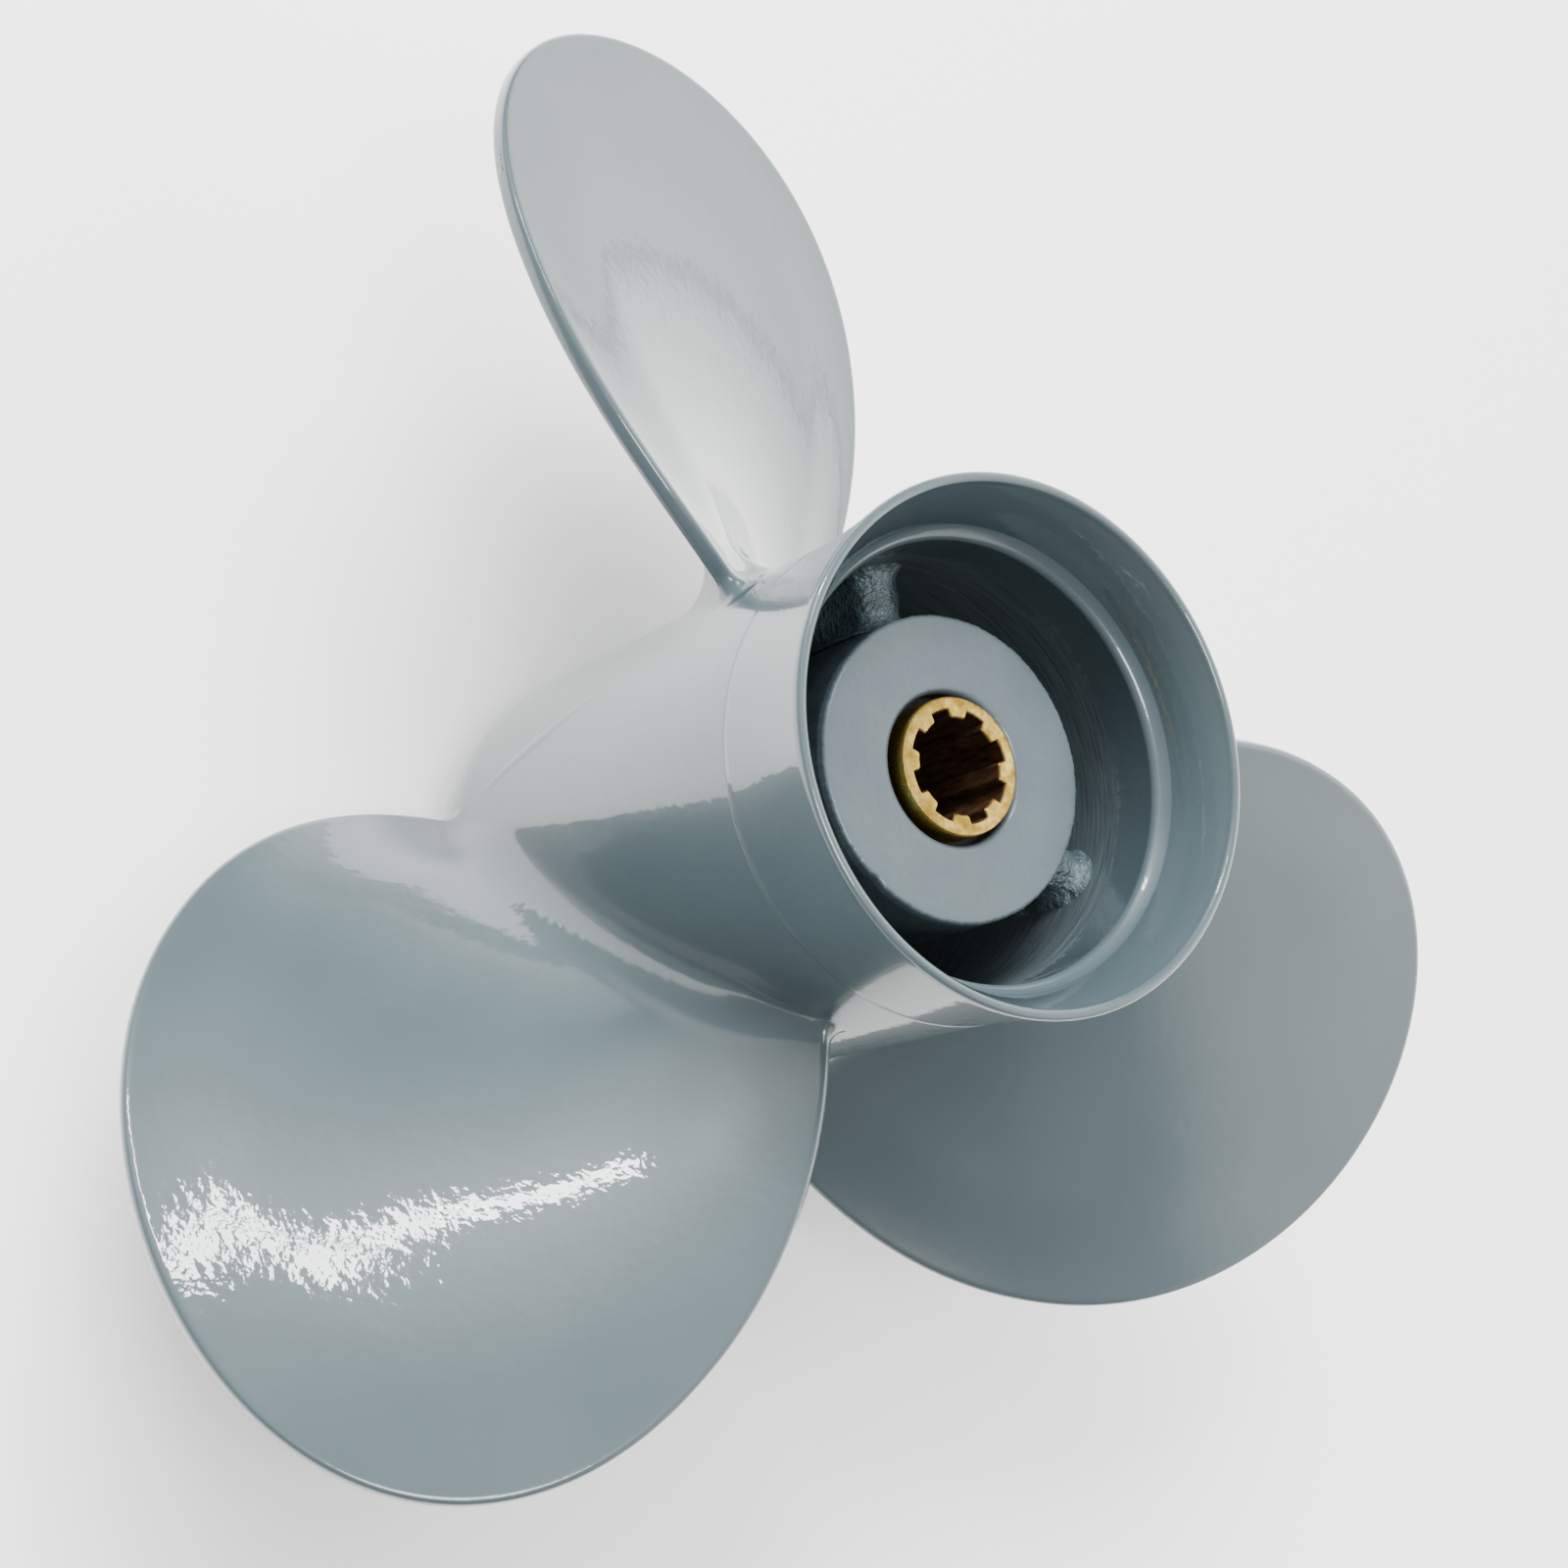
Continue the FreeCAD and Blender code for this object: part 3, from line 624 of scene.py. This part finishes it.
def blade_points():
    """Aft and forward skins of a blade on one grid, meeting at the rounded outline."""
    sheet, outline = blade_sheet()
    middle, rim = lifted(sheet), lifted(outline)
    n = len(sheet)
    shares = np.linspace(0.0, 1.0, 8, endpoint=False)
    rim = np.concatenate([rim[:-1] + share * (rim[1:] - rim[:-1]) for share in shares])
    nearest = [np.sqrt(((rim - point) ** 2).sum(1).min()) for point in middle.reshape(-1, 3)]
    edge_distance = np.array(nearest).reshape(n, n)
    edge_distance[0, :] = edge_distance[-1, :] = edge_distance[:, -1] = 0.0
    step = 0.01
    slope_across = (middle_height(sheet[..., 0] + step, sheet[..., 1]) - middle[..., 2]) / step
    slope_reach = (middle_height(sheet[..., 0], sheet[..., 1] + step) - middle[..., 2]) / step
    normal = np.stack((slope_across, -slope_reach, np.ones_like(slope_reach)), axis=-1)
    normal /= np.linalg.norm(normal, axis=-1, keepdims=True)

    inward = np.clip(edge_distance / EDGE_RADIUS, 0.0, 1.0)
    share = (sheet[..., 1] - 20.0) / (TIP - 20.0)
    full = (ROOT_THICKNESS + share * (TIP_THICKNESS - ROOT_THICKNESS)) / 2
    swell = np.clip((edge_distance - EDGE_RADIUS) / 16.0, 0.0, 1.0)
    swell = swell * swell * (3 - 2 * swell)
    squared = (1 - (1 - inward) ** EDGE_SQUARENESS) ** (1 / EDGE_SQUARENESS)
    half = EDGE_RADIUS * squared + (full - EDGE_RADIUS) * swell

    over = np.clip(height_over_barrel(sheet) + SUNK, 0.0, None)
    breadth = np.clip(edge_distance / 14.0, 0.0, 1.0)
    fillet = EDGE_FILLET + (FACE_FILLET - EDGE_FILLET) * breadth * breadth * (3 - 2 * breadth)
    short = np.clip(fillet - over, 0.0, None)
    flare = fillet - np.sqrt(np.clip(fillet**2 - short**2, 0.0, None))
    outward = np.zeros_like(middle)
    for edge, inner in ((0, 1), (n - 1, n - 2)):
        away = middle[edge] - middle[inner]
        away /= np.linalg.norm(away, axis=-1, keepdims=True)
        half_grid = slice(0, n // 2) if edge == 0 else slice(n // 2, n)
        outward[half_grid] = away
    push = outward * (flare * (1 - inward))[..., None]
    rise = half + flare * np.sqrt(1 - (1 - inward) ** 2)
    skins = []
    for side in (1.0, -1.0):
        points = middle + push + side * normal * rise[..., None]
        radial = np.hypot(points[..., 0], points[..., 1])
        wanted = barrel_radius(points[..., 2]) + over - SUNK
        near = np.clip((2.6 * fillet - over) / (1.6 * fillet), 0.0, 1.0)
        near = near * near * (3 - 2 * near)
        scale = (radial + near * (wanted - radial)) / radial
        points[..., :2] *= scale[..., None]
        skins.append(points)
    return skins, np.clip(1.0 - over / 0.9, 0.0, 1.0)


def blend_foot_normals(piece, near_foot):
    """Shades a blade's foot like the barrel, so the fillet runs into it without a line."""
    mesh = piece.data
    normals = np.empty(len(mesh.vertices) * 3)
    mesh.vertex_normals.foreach_get("vector", normals)
    normals = normals.reshape(-1, 3)
    places = np.empty(len(mesh.vertices) * 3)
    mesh.vertices.foreach_get("co", places)
    places = places.reshape(-1, 3) / MM
    slope = (barrel_radius(places[:, 2] + 0.05) - barrel_radius(places[:, 2] - 0.05)) / 0.1
    radial = np.hypot(places[:, 0], places[:, 1])
    barrel = np.stack((places[:, 0] / radial, places[:, 1] / radial, -slope), axis=-1)
    barrel /= np.linalg.norm(barrel, axis=-1, keepdims=True)
    weight = (near_foot**2)[:, None]
    mixed = normals * (1 - weight) + barrel * weight
    mixed /= np.linalg.norm(mixed, axis=-1, keepdims=True)
    mesh.normals_split_custom_set_from_vertices(mixed.tolist())


def build_blade(number, angle, skins, near_foot, material):
    """Both skins joined along the outline; open only at the foot, inside the barrel's wall."""
    n = len(skins[0])
    points = np.concatenate([skin.reshape(-1, 3) for skin in skins])
    second = np.arange(n * n) + n * n
    grid = np.arange(n * n).reshape(n, n)
    rim = np.concatenate((grid[0, :], grid[-1, :], grid[:, -1]))
    second[rim] = rim
    faces_aft = grid_faces(n, n, False, False)
    faces_forward = second[faces_aft][:, ::-1]
    inner = points[grid[:, 0]] * np.array((0.93, 0.93, 1.0))
    inner_forward = points[second[grid[:, 0]]] * np.array((0.93, 0.93, 1.0))
    start = len(points)
    points = np.concatenate((points, inner, inner_forward))
    foot = []
    for k in range(n - 1):
        foot.append((grid[k, 0], start + k, start + k + 1, grid[k + 1, 0]))
        foot.append((second[grid[k + 1, 0]], start + n + k + 1, start + n + k, second[grid[k, 0]]))
        foot.append((start + k, start + n + k, start + n + k + 1, start + k + 1))
    faces = np.concatenate((faces_aft[:, ::-1], faces_forward[:, ::-1], np.array(foot)))
    used, faces = np.unique(faces, return_inverse=True)
    points = turned(points[used], angle)
    near_foot = np.concatenate((near_foot.ravel(), near_foot.ravel(), np.zeros(2 * n)))[used]
    piece = add_mesh(
        f"blade_{number}_skin",
        points,
        faces.reshape(-1, 4),
        material,
        "casting",
        f"blade_{number}",
    )
    blend_foot_normals(piece, near_foot)
    return piece


# ---------------------------------------------------------------- sleeve


def sleeve_loop(grow):
    """One round of the splined bore; grow opens it for the lead-in."""
    points = []
    for number in range(GROOVE_COUNT):
        centre = math.radians(GROOVE_TURN + 45.0 * number)
        land, floor = LAND_RADIUS + grow, GROOVE_RADIUS + grow
        half = GROOVE_HALF_WIDTH + grow
        land_edge, floor_edge = math.asin(half / land), math.asin(half / floor)
        corner = 0.18
        points += [(floor, centre + floor_edge * k / 3) for k in range(-3, 4)]
        points += [(land + corner, centre + math.asin(half / (land + corner)))]
        points += [(land, centre + land_edge + 0.03)]
        rest = math.radians(45.0) - 2 * (land_edge + 0.03)
        points += [(land, centre + land_edge + 0.03 + rest * k / 4) for k in range(1, 5)]
        points += [(land + corner, centre + math.radians(45.0) - math.asin(half / (land + corner)))]
    return np.array(points)


def build_sleeve(material):
    plain, open_loop = sleeve_loop(0.0), sleeve_loop(0.22)
    turn = plain[:, 1]
    rows = [
        (plain[:, 0], turn, SLEEVE_FORWARD + 0.25),
        (plain[:, 0], turn, 60.0),
        (plain[:, 0], turn, SLEEVE_AFT - 0.25),
        (open_loop[:, 0], open_loop[:, 1], SLEEVE_AFT),
        (np.full(len(turn), 9.05), turn, SLEEVE_AFT),
        (np.full(len(turn), 9.34), turn, SLEEVE_AFT - 0.1),
        (np.full(len(turn), SLEEVE_RADIUS), turn, SLEEVE_AFT - 0.42),
        (np.full(len(turn), SLEEVE_RADIUS), turn, SLEEVE_FORWARD + 0.4),
        (np.full(len(turn), 9.1), turn, SLEEVE_FORWARD),
        (open_loop[:, 0], open_loop[:, 1], SLEEVE_FORWARD),
    ]
    rings = [(r * np.cos(t), r * np.sin(t), np.full(len(turn), z)) for r, t, z in rows]
    points = np.stack([np.stack(ring, axis=-1) for ring in rings], axis=1)
    faces = grid_faces(len(turn), len(rows), True, True)[:, ::-1]
    return add_mesh(
        "sleeve_machined",
        points.reshape(-1, 3),
        faces,
        material,
        "drive_bush",
        "splined_sleeve",
        24.0,
    )


# ---------------------------------------------------------------- build

enamel_blades = enamel("enamel_gloss")
enamel_hub = hub_enamel("enamel_and_bare_casting")
cast_rough = rough_casting("rough_casting")
disc_paint = satin_disc("thin_enamel")

profile, sharp_rows = hub_profile()
lathe(
    "hub_shell",
    profile,
    480,
    enamel_hub,
    "casting",
    "hub_barrel",
    sharp_rows,
    uneven_wall,
)
lathe(
    "inner_hub_turned",
    inner_hub_profile(),
    480,
    disc_paint,
    "casting",
    "inner_hub",
    (),
    rough_rim,
)
skins, near_foot = blade_points()
for index, angle in enumerate(BLADE_ANGLES, start=1):
    build_blade(index, angle, skins, near_foot, enamel_blades)
    build_rib(index, angle, cast_rough)
    build_ridge(f"parting_ridge_{index}", angle, enamel_blades)
build_sleeve(brass("machined_brass"))

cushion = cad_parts["rubber_cushion"]
cushion.data.materials.clear()
cushion.data.materials.append(rubber("moulded_rubber"))

# ---------------------------------------------------------------- stage


def add_area(name, position, target, size, power):
    """A rectangular light at a position, facing a target."""
    data = bpy.data.lights.new(name, "AREA")
    data.shape = "RECTANGLE"
    data.size, data.size_y = size
    data.energy = power
    light = bpy.data.objects.new(name, data)
    light.location = position
    light.rotation_euler = (Vector(target) - Vector(position)).to_track_quat("-Z", "Y").to_euler()
    bpy.context.scene.collection.objects.link(light)
    return light


def add_strip(name, first, second, width, power):
    """A narrow light between two points, facing the propeller."""
    first, second = Vector(first), Vector(second)
    middle, along_strip = (first + second) / 2, (second - first).normalized()
    back = middle - Vector((-0.07, -0.047, 0.06))
    back = (back - back.dot(along_strip) * along_strip).normalized()
    light = add_area(name, middle, (0, 0, 0), (width, (second - first).length), power)
    axes = Matrix((along_strip.cross(back), along_strip, back)).transposed()
    light.rotation_euler = axes.to_euler()
    return light


def build_floor():
    mesh = bpy.data.meshes.new("floor")
    reach = 4.0
    signs = ((-1, -1), (1, -1), (1, 1), (-1, 1))
    corners = [(reach * x, reach * y, FLOOR) for x, y in signs]
    mesh.from_pydata(corners, [], [(0, 1, 2, 3)])
    material, nodes, links, shader = new_material("pale_floor")
    cloud = add_noise(nodes, links, place(nodes, links), 3.0, 2.0)
    links.new(add_ramp(nodes, links, cloud, ((0.3, 0.925), (0.7, 0.94))), shader.inputs["Base Color"])
    shader.inputs["Roughness"].default_value = 0.85
    mesh.materials.append(material)
    floor = bpy.data.objects.new("floor", mesh)
    bpy.context.scene.collection.objects.link(floor)
    return floor


build_floor()
key = add_area("key", (-0.2, 1.25, 1.15), (0, 0, 0.06), (1.3, 1.1), 77.0)
side = add_area("side", (1.1, -0.35, 1.4), (0, 0, 0.06), (1.6, 1.6), 7.0)
overhead = add_area("overhead", (-0.3, 0.8, 1.8), (0, 0, 0.0), (1.8, 1.8), 45.0)
for light in (key, side, overhead):
    light.visible_glossy = False
add_strip("strip_near", (-0.078, 0.67, 1.196), (-0.07, 0.775, 1.126), 0.055, 1.5)
add_strip("strip_middle", (-0.056, 0.785, 1.118), (-0.088, 0.889, 1.033), 0.042, 1.3)
add_strip("strip_far", (-0.088, 0.889, 1.033), (-0.316, 0.975, 0.905), 0.055, 3.5)
add_area("edge_light", (-0.35, -0.2, 1.25), (0, 0, 0.06), (0.4, 0.4), 9.0)

world = bpy.data.worlds.new("studio")
bpy.context.scene.world = world
world.use_nodes = True
nodes, links = world.node_tree.nodes, world.node_tree.links
direction = nodes.new("ShaderNodeTexCoord").outputs["Generated"]


def lobe(azimuth, elevation, near, far, level):
    """A soft-edged bright patch of the studio: full within near degrees, gone at far degrees."""
    az, el = math.radians(azimuth), math.radians(elevation)
    dot = nodes.new("ShaderNodeVectorMath")
    dot.operation = "DOT_PRODUCT"
    links.new(direction, dot.inputs[0])
    centre = (math.cos(az) * math.cos(el), math.sin(az) * math.cos(el), math.sin(el))
    dot.inputs[1].default_value = centre
    fade = nodes.new("ShaderNodeMapRange")
    fade.interpolation_type = "SMOOTHSTEP"
    links.new(dot.outputs["Value"], fade.inputs["Value"])
    fade.inputs["From Min"].default_value = math.cos(math.radians(far))
    fade.inputs["From Max"].default_value = math.cos(math.radians(near))
    fade.inputs["To Max"].default_value = level
    return fade.outputs["Result"]


backdrop = lobe(14, 2, 32, 52, 2.6)
window = lobe(-38, 34, 16, 34, 1.5)
ceiling = lobe(12, 60, 8, 26, 1.0)
wing = lobe(114, 28, 8, 22, 1.1)
light_level = add_math(nodes, links, "ADD", add_math(nodes, links, "ADD", backdrop, window), ceiling)
light_level = add_math(nodes, links, "ADD", light_level, add_math(nodes, links, "ADD", wing, 0.42))
links.new(light_level, nodes["Background"].inputs["Strength"])
nodes["Background"].inputs["Color"].default_value = (1.0, 0.99, 0.97, 1.0)

camera_data = bpy.data.cameras.new("camera")
camera_data.lens = 71.68
camera_data.sensor_width = 36.0
camera = bpy.data.objects.new("camera", camera_data)
camera.location = (-0.25868, -0.05585, 0.41383)
camera.rotation_mode = "QUATERNION"
camera.rotation_quaternion = Quaternion((0.94787139, 0.09078661, -0.30026919, -0.05600035))
bpy.context.scene.collection.objects.link(camera)
bpy.context.scene.camera = camera
